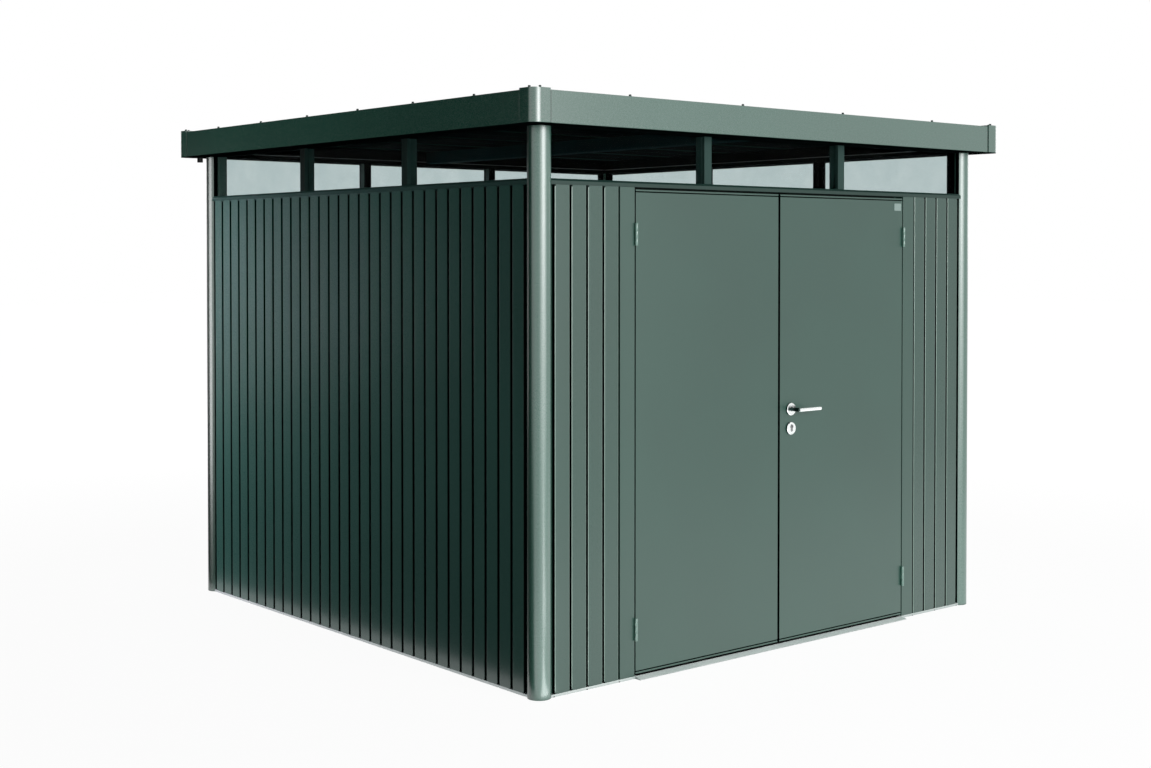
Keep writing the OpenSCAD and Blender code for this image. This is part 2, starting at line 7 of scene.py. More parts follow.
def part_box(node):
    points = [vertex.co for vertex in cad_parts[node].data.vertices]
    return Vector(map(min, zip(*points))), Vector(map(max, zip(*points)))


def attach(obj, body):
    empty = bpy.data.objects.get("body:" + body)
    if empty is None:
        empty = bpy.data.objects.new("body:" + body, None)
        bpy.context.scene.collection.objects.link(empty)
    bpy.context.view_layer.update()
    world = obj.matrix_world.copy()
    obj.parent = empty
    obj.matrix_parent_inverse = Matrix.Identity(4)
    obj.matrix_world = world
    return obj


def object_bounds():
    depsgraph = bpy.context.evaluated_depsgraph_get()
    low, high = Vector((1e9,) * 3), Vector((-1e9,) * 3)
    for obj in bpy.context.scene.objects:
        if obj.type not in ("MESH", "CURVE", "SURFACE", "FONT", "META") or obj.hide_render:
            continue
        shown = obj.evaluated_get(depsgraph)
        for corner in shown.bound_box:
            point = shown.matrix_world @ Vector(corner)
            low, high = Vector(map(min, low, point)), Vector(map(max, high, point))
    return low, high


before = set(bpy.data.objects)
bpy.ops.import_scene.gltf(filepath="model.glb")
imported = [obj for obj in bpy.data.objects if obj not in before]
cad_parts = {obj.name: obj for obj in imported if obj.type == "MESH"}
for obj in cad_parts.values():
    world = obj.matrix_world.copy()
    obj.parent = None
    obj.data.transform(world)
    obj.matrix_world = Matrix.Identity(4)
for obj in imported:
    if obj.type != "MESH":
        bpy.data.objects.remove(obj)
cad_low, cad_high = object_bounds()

# Base rails and door sill
# Mill-finish aluminium profiles that lie on the slab: the rails carry the wall panels on a ledge,
# and the sill is a low ramp under the door leaves. They are screwed down through the rails' feet.
rail_edge = 0.0006
rail_shine = 0.45
sill_shine = 0.05
drawn_along_x = (0.02, 1.0, 1.0)
drawn_along_y = (1.0, 0.02, 1.0)
dull_aluminium = (0.62, 0.70, 0.68)
clean_aluminium = (0.72, 0.79, 0.77)
noise_low = 0.3
noise_high = 0.7
corner_weld = 0.00002
sharp_angle = math.radians(50)


def new_finish(name):
    finish = bpy.data.materials.new(name)
    finish.use_nodes = True
    nodes = finish.node_tree.nodes
    return finish, nodes, finish.node_tree.links, nodes["Principled BSDF"]


def noise_field(nodes, links, scale, detail, stretch=(1.0, 1.0, 1.0)):
    place = nodes.new("ShaderNodeTexCoord")
    mapping = nodes.new("ShaderNodeMapping")
    mapping.inputs["Scale"].default_value = stretch
    noise = nodes.new("ShaderNodeTexNoise")
    noise.inputs["Scale"].default_value = scale
    noise.inputs["Detail"].default_value = detail
    links.new(place.outputs["Object"], mapping.inputs["Vector"])
    links.new(mapping.outputs["Vector"], noise.inputs["Vector"])
    return noise.outputs["Fac"]


def ranged(nodes, links, field, low, high):
    spread = nodes.new("ShaderNodeMapRange")
    spread.inputs["From Min"].default_value = noise_low
    spread.inputs["From Max"].default_value = noise_high
    spread.inputs["To Min"].default_value = low
    spread.inputs["To Max"].default_value = high
    links.new(field, spread.inputs["Value"])
    return spread.outputs["Result"]


def blended(nodes, links, field, dark, light):
    ramp = nodes.new("ShaderNodeValToRGB")
    ramp.color_ramp.elements[0].position = noise_low
    ramp.color_ramp.elements[0].color = (*dark, 1.0)
    ramp.color_ramp.elements[1].position = noise_high
    ramp.color_ramp.elements[1].color = (*light, 1.0)
    links.new(field, ramp.inputs["Fac"])
    return ramp.outputs["Color"]


def bumped(nodes, links, field, strength, depth):
    bump = nodes.new("ShaderNodeBump")
    bump.inputs["Strength"].default_value = strength
    bump.inputs["Distance"].default_value = depth
    links.new(field, bump.inputs["Height"])
    return bump.outputs["Normal"]


def bare_aluminium(name, stretch, shine):
    finish, nodes, links, shader = new_finish(name)
    drawn = noise_field(nodes, links, 420.0, 3.0, stretch)
    cloud = noise_field(nodes, links, 5.0, 2.0)
    links.new(blended(nodes, links, cloud, dull_aluminium, clean_aluminium), shader.inputs["Base Color"])
    links.new(ranged(nodes, links, drawn, 0.34, 0.52), shader.inputs["Roughness"])
    links.new(bumped(nodes, links, drawn, 0.25, 0.0004), shader.inputs["Normal"])
    shader.inputs["Metallic"].default_value = shine
    return finish


def dress(node_names, finish, edge):
    for node_name in node_names:
        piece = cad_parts[node_name]
        piece.data.materials.clear()
        piece.data.materials.append(finish)
        if edge:
            weld = piece.modifiers.new("merged_corners", "WELD")
            weld.merge_threshold = corner_weld
            rounding = piece.modifiers.new("rounded_edges", "BEVEL")
            rounding.width = edge
            rounding.segments = 2
            rounding.limit_method = "ANGLE"
            rounding.angle_limit = sharp_angle
            rounding.harden_normals = True


front_rail_finish = bare_aluminium("rail_aluminium_x", drawn_along_x, rail_shine)
dress(["base_rail_front", "base_rail_rear"], front_rail_finish, rail_edge)
sill_finish = bare_aluminium("sill_aluminium", drawn_along_x, sill_shine)
dress(["door_sill"], sill_finish, rail_edge)
side_rail_finish = bare_aluminium("rail_aluminium_y", drawn_along_y, rail_shine)
dress(["base_rail_left", "base_rail_right"], side_rail_finish, rail_edge)

# Anchor bolts
# Zinc-plated bolts with a wide washer, one through each anchor hole in the feet of the front and rear rails.
# They hold the shed down on its slab and only show from inside.
bolt_r = 0.0055
bolt_h = 0.0065
anchor_washer_r = 0.010
anchor_washer_t = 0.0015
anchor_side = 0.148
anchor_in = 0.045
rail_foot_t = 0.003
roof_overhang = 0.099
drive_share = 0.45
head_edge_share = 0.16
head_edge_steps = 2
head_sides = 24
dull_zinc = (0.52, 0.54, 0.53)
bright_zinc = (0.66, 0.68, 0.67)


def pick_faces(piece, wanted):
    bpy.ops.object.mode_set(mode="OBJECT")
    mesh = piece.data
    for part in (mesh.vertices, mesh.edges):
        part.foreach_set("select", [False] * len(part))
    for face in mesh.polygons:
        face.select = wanted(face.center, face.normal)
    bpy.ops.object.mode_set(mode="EDIT")
    bpy.ops.mesh.select_mode(type="FACE")


def soften(piece, width, steps):
    bpy.ops.object.mode_set(mode="OBJECT")
    rounding = piece.modifiers.new("worn_edges", "BEVEL")
    rounding.width = width
    rounding.segments = steps
    rounding.limit_method = "ANGLE"
    rounding.angle_limit = math.radians(40)
    bpy.ops.object.modifier_apply(modifier=rounding.name)
    bpy.ops.object.shade_smooth_by_angle(angle=math.radians(35))


def screw_head(name, washer_r, washer_t, head_r, head_h):
    bpy.ops.object.select_all(action="DESELECT")
    bpy.ops.mesh.primitive_cylinder_add(
        vertices=head_sides, radius=washer_r, depth=washer_t, location=(0.0, 0.0, washer_t / 2))
    screw = bpy.context.object
    screw.name = name
    bpy.ops.object.transform_apply(location=True, rotation=True, scale=True)
    pick_faces(screw, lambda centre, normal: normal.z > 0.9)
    bpy.ops.mesh.inset(thickness=washer_r - head_r)
    bpy.ops.mesh.extrude_region_move(TRANSFORM_OT_translate={"value": (0.0, 0.0, head_h)})
    bpy.ops.mesh.inset(thickness=head_r * drive_share)
    bpy.ops.mesh.extrude_region_move(TRANSFORM_OT_translate={"value": (0.0, 0.0, -head_h * drive_share)})
    soften(screw, head_r * head_edge_share, head_edge_steps)
    return screw


def set_copies(pattern, places, finish, body):
    pattern.data.materials.append(finish)
    for number, place in enumerate(places, 1):
        copy = pattern.copy()
        copy.data = pattern.data.copy()
        copy.name = f"{pattern.name}_{number:02d}"
        copy.data.transform(Matrix.Translation(place))
        bpy.context.scene.collection.objects.link(copy)
        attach(copy, body)
    bpy.data.objects.remove(pattern, do_unlink=True)


def plated_metal(name, dark, light):
    finish, nodes, links, shader = new_finish(name)
    grain = noise_field(nodes, links, 300.0, 3.0)
    links.new(blended(nodes, links, grain, dark, light), shader.inputs["Base Color"])
    links.new(ranged(nodes, links, grain, 0.30, 0.45), shader.inputs["Roughness"])
    shader.inputs["Metallic"].default_value = 0.9
    return finish


half_front = cad_high[0] - roof_overhang
front_rail_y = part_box("base_rail_front")[0][1]
rear_rail_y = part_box("base_rail_rear")[1][1]
anchor_x = half_front - anchor_side
anchor_rows = (front_rail_y + anchor_in, rear_rail_y - anchor_in)
set_copies(
    screw_head("anchor_bolt", anchor_washer_r, anchor_washer_t, bolt_r, bolt_h),
    [(side * anchor_x, y, rail_foot_t) for side in (-1, 1) for y in anchor_rows],
    plated_metal("bolt_zinc", dull_zinc, bright_zinc), "shed",
)

# Weep plugs
# Black foam plugs, pressed into the half-round weep holes at the foot of the front rail.
# There is one at each panel joint, to let water out and keep insects from crawling in.
plug_r = 0.0037
plug_t = 0.0026
plug_sides = 24
plug_rim = 0.0006
plug_dish = 0.0004
plug_edge = 0.0001
plug_gap = 0.0001
weep_places = (0.88, 1.04, 1.20)
black_rubber = (0.006, 0.006, 0.006)
grey_rubber = (0.012, 0.012, 0.012)


def rubber(name):
    finish, nodes, links, shader = new_finish(name)
    bloom = noise_field(nodes, links, 120.0, 3.0)
    links.new(blended(nodes, links, bloom, black_rubber, grey_rubber), shader.inputs["Base Color"])
    links.new(ranged(nodes, links, bloom, 0.60, 0.78), shader.inputs["Roughness"])
    links.new(bumped(nodes, links, bloom, 0.10, 0.0003), shader.inputs["Normal"])
    shader.inputs["IOR"].default_value = 1.25
    return finish


bpy.ops.object.select_all(action="DESELECT")
bpy.ops.mesh.primitive_cylinder_add(
    vertices=plug_sides, radius=plug_r, depth=plug_t,
    location=(0.0, 0.0, 0.0), rotation=(math.radians(90), 0.0, 0.0))
weep_plug = bpy.context.object
weep_plug.name = "weep_plug"
bpy.ops.object.transform_apply(location=True, rotation=True, scale=True)
bpy.ops.object.mode_set(mode="EDIT")
bpy.ops.mesh.select_all(action="SELECT")
bpy.ops.mesh.bisect(plane_co=(0.0, 0.0, plug_gap), plane_no=(0.0, 0.0, 1.0), use_fill=True, clear_inner=True)
pick_faces(weep_plug, lambda centre, normal: normal.y < -0.9)
bpy.ops.mesh.inset(thickness=plug_rim)
bpy.ops.mesh.extrude_region_move(TRANSFORM_OT_translate={"value": (0.0, plug_dish, 0.0)})
soften(weep_plug, plug_edge, 1)
plug_y = front_rail_y + plug_t / 2 + plug_gap
set_copies(
    weep_plug, [(side * x, plug_y, 0.0) for side in (-1, 1) for x in weep_places],
    rubber("weep_foam"), "shed",
)

# Corner posts
# Extruded aluminium posts, round outside and stepped toward the room, coated the walls' green but glossier.
# They stand on the slab, the panels enter a groove in them, and the rails are coped to them. Painted shade
# darkens the groove, the flanks and the right posts' room-side faces.
post_green = (0.044, 0.165, 0.120)
post_axis = 0.031
post_radius = 0.044
groove_dark = 0.0035
groove_shade = 0.0010
flank_dark = 0.004
flank_shade = 0.002
flank_back = 0.020
flank_end = 0.024
rail_blend = 0.010
room_dark = 0.0735
room_shade = 0.0715
middle_blend = 0.1
painted_shade_black = (0.001, 0.002, 0.002, 1.0)
wall_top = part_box("left_wall")[1][2]


def combined(nodes, links, operation, first, second):
    node = nodes.new("ShaderNodeMath")
    node.operation = operation
    for socket, value in zip(node.inputs, (first, second)):
        if isinstance(value, float):
            socket.default_value = value
        else:
            links.new(value, socket)
    return node.outputs["Value"]


def step_up(nodes, links, field, low, high):
    step = nodes.new("ShaderNodeMapRange")
    step.inputs["From Min"].default_value = low
    step.inputs["From Max"].default_value = high
    links.new(field, step.inputs["Value"])
    return step.outputs["Result"]


def place_on(nodes, links, axis):
    place = nodes.new("ShaderNodeTexCoord")
    parts = nodes.new("ShaderNodeSeparateXYZ")
    links.new(place.outputs["Object"], parts.inputs["Vector"])
    return parts.outputs[axis]


def reach_on(nodes, links, axis):
    return combined(nodes, links, "ABSOLUTE", place_on(nodes, links, axis), 0.0)


# Painted shade mask: 0 inside the round face in the groove and on the flanks below the wall top, and on the
# room-side faces of the right-hand posts.
def outside_groove(nodes, links):
    across = reach_on(nodes, links, "X")
    along = reach_on(nodes, links, "Y")
    from_axis_x = combined(nodes, links, "SUBTRACT", across, half_front - post_axis)
    from_axis_y = combined(nodes, links, "SUBTRACT", along, half_front - post_axis)
    square_x = combined(nodes, links, "MULTIPLY", from_axis_x, from_axis_x)
    square_y = combined(nodes, links, "MULTIPLY", from_axis_y, from_axis_y)
    reach = combined(nodes, links, "SQRT", combined(nodes, links, "ADD", square_x, square_y), 0.0)
    round_face = step_up(nodes, links, reach, post_radius - groove_dark, post_radius - groove_shade)
    flush = combined(nodes, links, "MAXIMUM", across, along)
    ahead = step_up(nodes, links, flush, half_front - flank_dark, half_front - flank_shade)
    indoors = step_up(nodes, links, flush, half_front - flank_back, half_front - flank_end)
    over_wall = step_up(nodes, links, place_on(nodes, links, "Z"), wall_top, wall_top + rail_blend)
    off_wall = combined(nodes, links, "MAXIMUM", ahead, indoors)
    off_flank = combined(nodes, links, "MAXIMUM", off_wall, over_wall)
    nearest = combined(nodes, links, "MINIMUM", across, along)
    off_room = step_up(nodes, links, nearest, half_front - room_dark, half_front - room_shade)
    left_half = step_up(nodes, links, place_on(nodes, links, "X"), middle_blend, 0.0)
    off_far_face = combined(nodes, links, "MAXIMUM", off_room, left_half)
    outer = combined(nodes, links, "MINIMUM", round_face, off_flank)
    return combined(nodes, links, "MINIMUM", outer, off_far_face)


def green_coating(name, green, gloss, reflect, open_air=None, tint_on=None, tint_green=None):
    finish, nodes, links, shader = new_finish(name)
    cloud = noise_field(nodes, links, 1.7, 2.0)
    flake = noise_field(nodes, links, 2600.0, 0.0)
    peel = noise_field(nodes, links, 700.0, 1.0)
    dark = tuple(0.93 * c for c in green)
    light = tuple(1.07 * c for c in green)
    sparkle = nodes.new("ShaderNodeMix")
    sparkle.data_type = "RGBA"
    sparkle.blend_type = "MULTIPLY"
    sparkle.inputs["Factor"].default_value = 1.0
    links.new(blended(nodes, links, cloud, dark, light), sparkle.inputs["A"])
    links.new(blended(nodes, links, flake, (0.90, 0.90, 0.90), (1.10, 1.10, 1.10)), sparkle.inputs["B"])
    colour = sparkle.outputs["Result"]
    matt = ranged(nodes, links, peel, gloss - 0.04, gloss + 0.04)
    # A second colour by place: a painted highlight on the wall folds, and the deck's green top over its
    # painted-shade underside.
    if tint_on:
        tint = nodes.new("ShaderNodeMix")
        tint.data_type = "RGBA"
        tint.inputs["B"].default_value = (*tint_green, 1.0)
        links.new(tint_on(nodes, links), tint.inputs["Factor"])
        links.new(colour, tint.inputs["A"])
        colour = tint.outputs["Result"]
    # Painted shade: where the mask is 0 the coat turns near black, fully rough and metallic with no specular
    # tint, standing in for shade.
    if open_air:
        shown = open_air(nodes, links)
        shade = nodes.new("ShaderNodeMix")
        shade.data_type = "RGBA"
        shade.inputs["A"].default_value = painted_shade_black
        links.new(shown, shade.inputs["Factor"])
        links.new(colour, shade.inputs["B"])
        colour = shade.outputs["Result"]
        hidden = combined(nodes, links, "SUBTRACT", 1.0, shown)
        matt = combined(nodes, links, "MAXIMUM", matt, hidden)
        links.new(hidden, shader.inputs["Metallic"])
        links.new(shown, shader.inputs["Specular Tint"])
    links.new(colour, shader.inputs["Base Color"])
    links.new(matt, shader.inputs["Roughness"])
    links.new(bumped(nodes, links, peel, 0.05, 0.0003), shader.inputs["Normal"])
    shader.inputs["IOR"].default_value = reflect
    return finish


post_finish = green_coating("post_coating", post_green, 0.29, 2.2, outside_groove)
dress(
    ["corner_post_front_left", "corner_post_front_right", "corner_post_rear_left", "corner_post_rear_right"],
    post_finish, 0.0,
)

# Wall panels
# Steel sheet, roll-formed with a deep groove down the middle and a lap along one edge,
# coated dark green on both faces, with painted shade in the joints and a painted highlight on the folds of
# the front and rear walls. Each panel hooks behind the next and stands on the base rail.
coating_green = (0.026, 0.092, 0.068)
fold_highlight_green = (0.340, 0.500, 0.430)
joint_shade = 0.0011
joint_dark = 0.0017
joint_end = 0.013
joint_blend = 0.001
side_deeper = 0.0010
fold_start = 0.0002
fold_full = 0.0005
fold_back = 0.005
fold_end = 0.006
corner_blend = 0.001


# Painted shade mask: 0 from a little behind the wall face down to the joint's back, starting shallower on
# the side walls.
def outside_joint(nodes, links):
    across = reach_on(nodes, links, "X")
    along = reach_on(nodes, links, "Y")
    side_place = combined(nodes, links, "SUBTRACT", across, side_deeper)
    outward = combined(nodes, links, "MAXIMUM", side_place, along)
    face = step_up(nodes, links, outward, half_front - joint_dark, half_front - joint_shade)
    joint_back = half_front - joint_end
    back = step_up(nodes, links, outward, joint_back + joint_blend, joint_back - joint_blend)
    return combined(nodes, links, "MAXIMUM", face, back)


# Painted highlight mask: 1 on the bends just behind the face of the front and rear walls, which take the
# lighter green.
def on_fold(nodes, links):
    across = reach_on(nodes, links, "X")
    along = reach_on(nodes, links, "Y")
    fold = step_up(nodes, links, along, half_front - fold_start, half_front - fold_full)
    front_or_rear = combined(nodes, links, "SUBTRACT", along, across)
    off_sides = step_up(nodes, links, front_or_rear, -corner_blend, corner_blend)
    outer = step_up(nodes, links, along, half_front - fold_end, half_front - fold_back)
    return combined(nodes, links, "MULTIPLY", combined(nodes, links, "MULTIPLY", fold, off_sides), outer)


wall_finish = green_coating("wall_coating", coating_green, 0.30, 1.73, outside_joint, on_fold, fold_highlight_green)
dress(["front_wall_left", "front_wall_right", "left_wall", "right_wall", "rear_wall"], wall_finish, 0.0)

# Wall top rails
# Extruded aluminium rails with a sloped outer nose, coated a darker green than the walls as painted shade of
# the eaves.
# They cap the panels and are the sill of the glazed band.
eave_shade_rail_green = (0.015, 0.051, 0.040)
top_rail_edge = 0.0008
top_rail_finish = green_coating("rail_coating", eave_shade_rail_green, 0.42, 1.45)
dress(["top_rail_front", "top_rail_left", "top_rail_right", "top_rail_rear"], top_rail_finish, top_rail_edge)

# Door frame
# Folded steel jambs with a stop strip, and a head stop under the top rail.
# They are screwed to the rails and carry the fixed halves of the hinges.
jamb_edge = 0.0008
jamb_finish = green_coating("door_coating", coating_green, 0.36, 1.72)
dress(["door_jambs", "door_head"], jamb_finish, jamb_edge)

# Door seals
# Black rubber seals with a slim nose, stuck on both jamb stops, on the head stop and on the sill.
# The leaves close against them, and they darken the gaps round the leaves.
seal_w = 0.010
seal_t = 0.0025
seal_inset = 0.012
seal_foot = 0.012
seal_top_gap = 0.002
seal_edge = 0.0004
nose_len = 0.001
nose_share = 0.6
strip_limit = 0.05
stop_set_back = 0.003
head_seal_low = 0.006
head_seal_top_gap = 0.001
head_seal_end_gap = 0.002
sill_seal_half = 0.790
sill_seal_front = 0.002
sill_seal_back = 0.026
sill_seal_t = 0.0015


def long_strip(name, low, high, nose):
    bpy.ops.object.select_all(action="DESELECT")
    middle = (Vector(low) + Vector(high)) / 2
    sizes = Vector(high) - Vector(low)
    bpy.ops.mesh.primitive_cube_add(size=1.0, location=middle, scale=sizes)
    strip = bpy.context.object
    strip.name = name
    bpy.ops.object.transform_apply(location=True, rotation=True, scale=True)
    pick_faces(strip, lambda centre, normal: normal.dot(Vector(nose)) > 0.9)
    bpy.ops.mesh.extrude_region_move(TRANSFORM_OT_translate={"value": Vector(nose) * nose_len})
    narrowed = [size < strip_limit and abs(part) <= 0.5 for size, part in zip(sizes, nose)]
    bpy.ops.transform.resize(value=tuple(nose_share if narrow else 1.0 for narrow in narrowed))
    soften(strip, seal_edge, 2)
    return strip


jamb_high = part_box("door_jambs")[1]
head_low, head_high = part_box("door_head")
sill_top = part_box("door_sill")[1][2]
stop_front = jamb_high[1] - stop_set_back
stop_edge = head_high[0]
seal_back = stop_front - seal_t
seal_side = stop_edge + seal_inset
seal_top = jamb_high[2] - seal_top_gap
sill_seal_top = sill_top + sill_seal_t
head_seal_half = stop_edge - head_seal_end_gap
to_leaf = (0.0, -1.0, 0.0)
upward = (0.0, 0.0, 1.0)
seal_finish = rubber("seal_rubber")
for seal_name, seal_low, seal_high, seal_nose in (
    ("door_seal_left", (-seal_side, seal_back, seal_foot),
     (-seal_side + seal_w, stop_front, seal_top), to_leaf),
    ("door_seal_right", (seal_side - seal_w, seal_back, seal_foot),
     (seal_side, stop_front, seal_top), to_leaf),
    ("door_seal_sill", (-sill_seal_half, -half_front + sill_seal_front, sill_top),
     (sill_seal_half, -half_front + sill_seal_back, sill_seal_top), upward),
    ("door_seal_head", (-head_seal_half, seal_back, head_low[2] + head_seal_low),
     (head_seal_half, stop_front, head_high[2] - head_seal_top_gap), to_leaf),
):
    seal = long_strip(seal_name, seal_low, seal_high, seal_nose)
    seal.data.materials.append(seal_finish)
    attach(seal, "shed")

# Hinges
# Steel hinges with three knuckles, one pair to each leaf, coated green and painted lighter than the posts as
# a painted highlight.
# Their straps lie in the gap between jamb and leaf and are screwed to both.
hinge_shine_green = (0.080, 0.240, 0.180)
hinge_edge = 0.0004
hinge_finish = green_coating("hinge_coating", hinge_shine_green, 0.29, 2.2)
dress(["frame_hinges", "left_door_hinges", "right_door_hinges"], hinge_finish, hinge_edge)

# Window mullions
# Coated aluminium bars between the panes, screwed down on the top rails and up to the head beams.
# Their green is darker than the walls' as painted shade of the eaves, and on the right and rear sides the
# faces toward the room are painted near black as shade under the roof.
eave_shade_mullion_green = (0.024, 0.070, 0.060)
mullion_edge = 0.001
far_side_start = 1.0
far_side_full = 1.1
pane_shade = 0.010
pane_dark = 0.012
mullion_shade = 0.058
mullion_dark = 0.060


# Painted shade mask: 0 on the room-side faces of the mullions on the right and rear sides.
def off_far_room(nodes, links):
    right = place_on(nodes, links, "X")
    rear = place_on(nodes, links, "Y")
    on_right = step_up(nodes, links, right, far_side_start, far_side_full)
    behind_pane = step_up(nodes, links, right, half_front - pane_shade, half_front - pane_dark)
    on_rear = step_up(nodes, links, rear, far_side_start, far_side_full)
    rear_face = step_up(nodes, links, rear, half_front - mullion_shade, half_front - mullion_dark)
    far_right = combined(nodes, links, "MULTIPLY", on_right, behind_pane)
    far_rear = combined(nodes, links, "MULTIPLY", on_rear, rear_face)
    return combined(nodes, links, "SUBTRACT", 1.0, combined(nodes, links, "MAXIMUM", far_right, far_rear))


mullion_finish = green_coating("mullion_coating", eave_shade_mullion_green, 0.45, 1.35, off_far_room)
dress(["window_mullions"], mullion_finish, mullion_edge)

# Window panes
# Clear acrylic sheets with a slight grey-green tint, cut to size.
# They are held between the top rails, the head beams and the mullions, and don't open.
pane_dull = (0.64, 0.71, 0.71)
pane_clear = (0.69, 0.75, 0.75)
pane_finish, pane_nodes, pane_links, pane_shader = new_finish("pane_acrylic")
pane_haze = noise_field(pane_nodes, pane_links, 9.0, 3.0)
pane_tone = blended(pane_nodes, pane_links, pane_haze, pane_dull, pane_clear)
pane_links.new(pane_tone, pane_shader.inputs["Base Color"])
pane_links.new(ranged(pane_nodes, pane_links, pane_haze, 0.0, 0.02), pane_shader.inputs["Roughness"])
pane_shader.inputs["Transmission Weight"].default_value = 1.0
pane_shader.inputs["IOR"].default_value = 1.05
dress(["glass_front", "glass_left", "glass_right", "glass_rear"], pane_finish, 0.0)

# Head beams, purlin and roof deck
# Aluminium beams over the glazing carry one purlin and the ribbed steel roof trays.
# All are coated; the near black on the beams and under the trays and the dark green of the purlin are
# painted shade of the room, and the trays are green on top.
room_shadow_green = (0.0015, 0.004, 0.004)
purlin_green = (0.010, 0.046, 0.050)
deck_green = (0.034, 0.076, 0.064)
beam_edge = 0.001
tray_dark = 0.0003
tray_shade = 0.0008
deck_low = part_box("roof_deck")[0][2]


# Painted shade: the trays keep the near black only on their lowest face and take the green above it.
def over_trays(nodes, links):
    return step_up(nodes, links, place_on(nodes, links, "Z"), deck_low + tray_dark, deck_low + tray_shade)


room_shadow_finish = green_coating("room_shadow_coating", room_shadow_green, 0.96, 1.05)
dress(["head_beam_front", "head_beam_left", "head_beam_right", "head_beam_rear"], room_shadow_finish, beam_edge)
purlin_finish = green_coating("purlin_coating", purlin_green, 0.90, 1.10)
dress(["roof_purlin"], purlin_finish, beam_edge)
deck_finish = green_coating("deck_coating", room_shadow_green, 0.96, 1.05, None, over_trays, deck_green)
dress(["roof_deck"], deck_finish, 0.0)

# Glazing beads
# Narrow bare aluminium beads with a slim nose, drawn to shape.
# They are clipped along the inner face of each head beam just over the panes.
bead_up = 0.018
bead_h = 0.003
bead_out = 0.003
bead_end_gap = 0.006
dull_bead = (0.24, 0.27, 0.27)
bright_bead = (0.34, 0.37, 0.37)
bead_finish = plated_metal("bead_aluminium", dull_bead, bright_bead)
for side_name, axis, sign in (("front", 1, -1), ("rear", 1, 1), ("left", 0, -1), ("right", 0, 1)):
    beam_low, beam_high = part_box("head_beam_" + side_name)
    inner = beam_low[axis] if sign > 0 else beam_high[axis]
    bead_half = abs(inner) - bead_end_gap
    bead_low = [-bead_half, -bead_half, beam_low[2] + bead_up]
    bead_high = [bead_half, bead_half, beam_low[2] + bead_up + bead_h]
    bead_low[axis] = min(inner, inner - sign * bead_out)
    bead_high[axis] = max(inner, inner - sign * bead_out)
    bead_nose = [0.0, 0.0, 0.0]
    bead_nose[axis] = -float(sign)
    bead = long_strip("glazing_bead_" + side_name, bead_low, bead_high, bead_nose)
    bead.data.materials.append(bead_finish)
    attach(bead, "shed")

# Fascia and corner caps
# Folded aluminium fascias close the roof edge all round, and rounded caps cover their corners.
# Both are coated dark green, painted near black on the underside as shade, and screwed down along the top
# flange.
fascia_green = (0.036, 0.142, 0.102)
fascia_edge = 0.0008
lip_dark = 0.0015
lip_shade = 0.0035
fascia_low, fascia_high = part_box("fascia_front")
underside = fascia_low[2]


# Painted shade mask: 0 on the fascias' and caps' undersides, which turn near black.
def above_underside(nodes, links):
    return step_up(nodes, links, place_on(nodes, links, "Z"), underside + lip_dark, underside + lip_shade)


fascia_finish = green_coating("fascia_coating", fascia_green, 0.26, 2.25, above_underside)
dress(["fascia_front", "fascia_left", "fascia_right", "fascia_rear"], fascia_finish, fascia_edge)
dress(["roof_corner_caps"], fascia_finish, 0.0)

# Joint tapes
# Black butyl tape behind each slot between a fascia and a corner cap, stuck on the inner face of the fascia.
# It keeps rain out of the joint, and the slot shows as a dark line.
tape_half = 0.006
tape_t = 0.0008
tape_face = 1.370
tape_along = 1.2925
tape_foot_gap = 0.0035
tape_top_gap = 0.004
tape_low_z = underside + tape_foot_gap
tape_high_z = fascia_high[2] - tape_top_gap
tape_finish = rubber("tape_butyl")
tape_joints = [(axis, sign, end) for axis in (0, 1) for sign in (-1, 1) for end in (-1, 1)]
for tape_number, (axis, sign, end) in enumerate(tape_joints, 1):
    tape_low = [end * tape_along - tape_half, end * tape_along - tape_half, tape_low_z]
    tape_high = [end * tape_along + tape_half, end * tape_along + tape_half, tape_high_z]
    tape_low[axis] = min(sign * tape_face, sign * (tape_face - tape_t))
    tape_high[axis] = max(sign * tape_face, sign * (tape_face - tape_t))
    inward = [0.0, 0.0, 0.0]
    inward[axis] = -float(sign)
    tape = long_strip(f"joint_tape_{tape_number}", tape_low, tape_high, inward)
    tape.data.materials.append(tape_finish)
    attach(tape, "shed")

# Roof screws
# Dark coated roofing screws with a sealing washer, down the top flanges of the fascias and two in each cap.
# They hold the roof edge to the deck.
roof_washer_r = 0.007
roof_washer_t = 0.002
roof_head_r = 0.005
roof_head_h = 0.006
screw_in = 0.018
cap_along = 0.045
front_row = (-0.9, -0.3, 0.3, 0.9)
side_row = (-1.0, -0.6, -0.2, 0.2, 0.6, 1.0)
dark_zinc = (0.020, 0.030, 0.028)
worn_zinc = (0.034, 0.046, 0.043)
cap_x, cap_y, cap_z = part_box("roof_corner_caps")[1]
flange_z = fascia_high[2]
row_x = cap_x - screw_in
row_y = cap_y - screw_in
screw_places = [(x, side * row_y, flange_z) for side in (-1, 1) for x in front_row]
screw_places += [(side * row_x, y, flange_z) for side in (-1, 1) for y in side_row]
for side_x in (-1, 1):
    for side_y in (-1, 1):
        screw_places.append((side_x * (cap_x - cap_along), side_y * row_y, cap_z))
        screw_places.append((side_x * row_x, side_y * (cap_y - cap_along), cap_z))
set_copies(
    screw_head("roof_screw", roof_washer_r, roof_washer_t, roof_head_r, roof_head_h), screw_places,
    plated_metal("screw_dark_zinc", dark_zinc, worn_zinc), "shed",
)

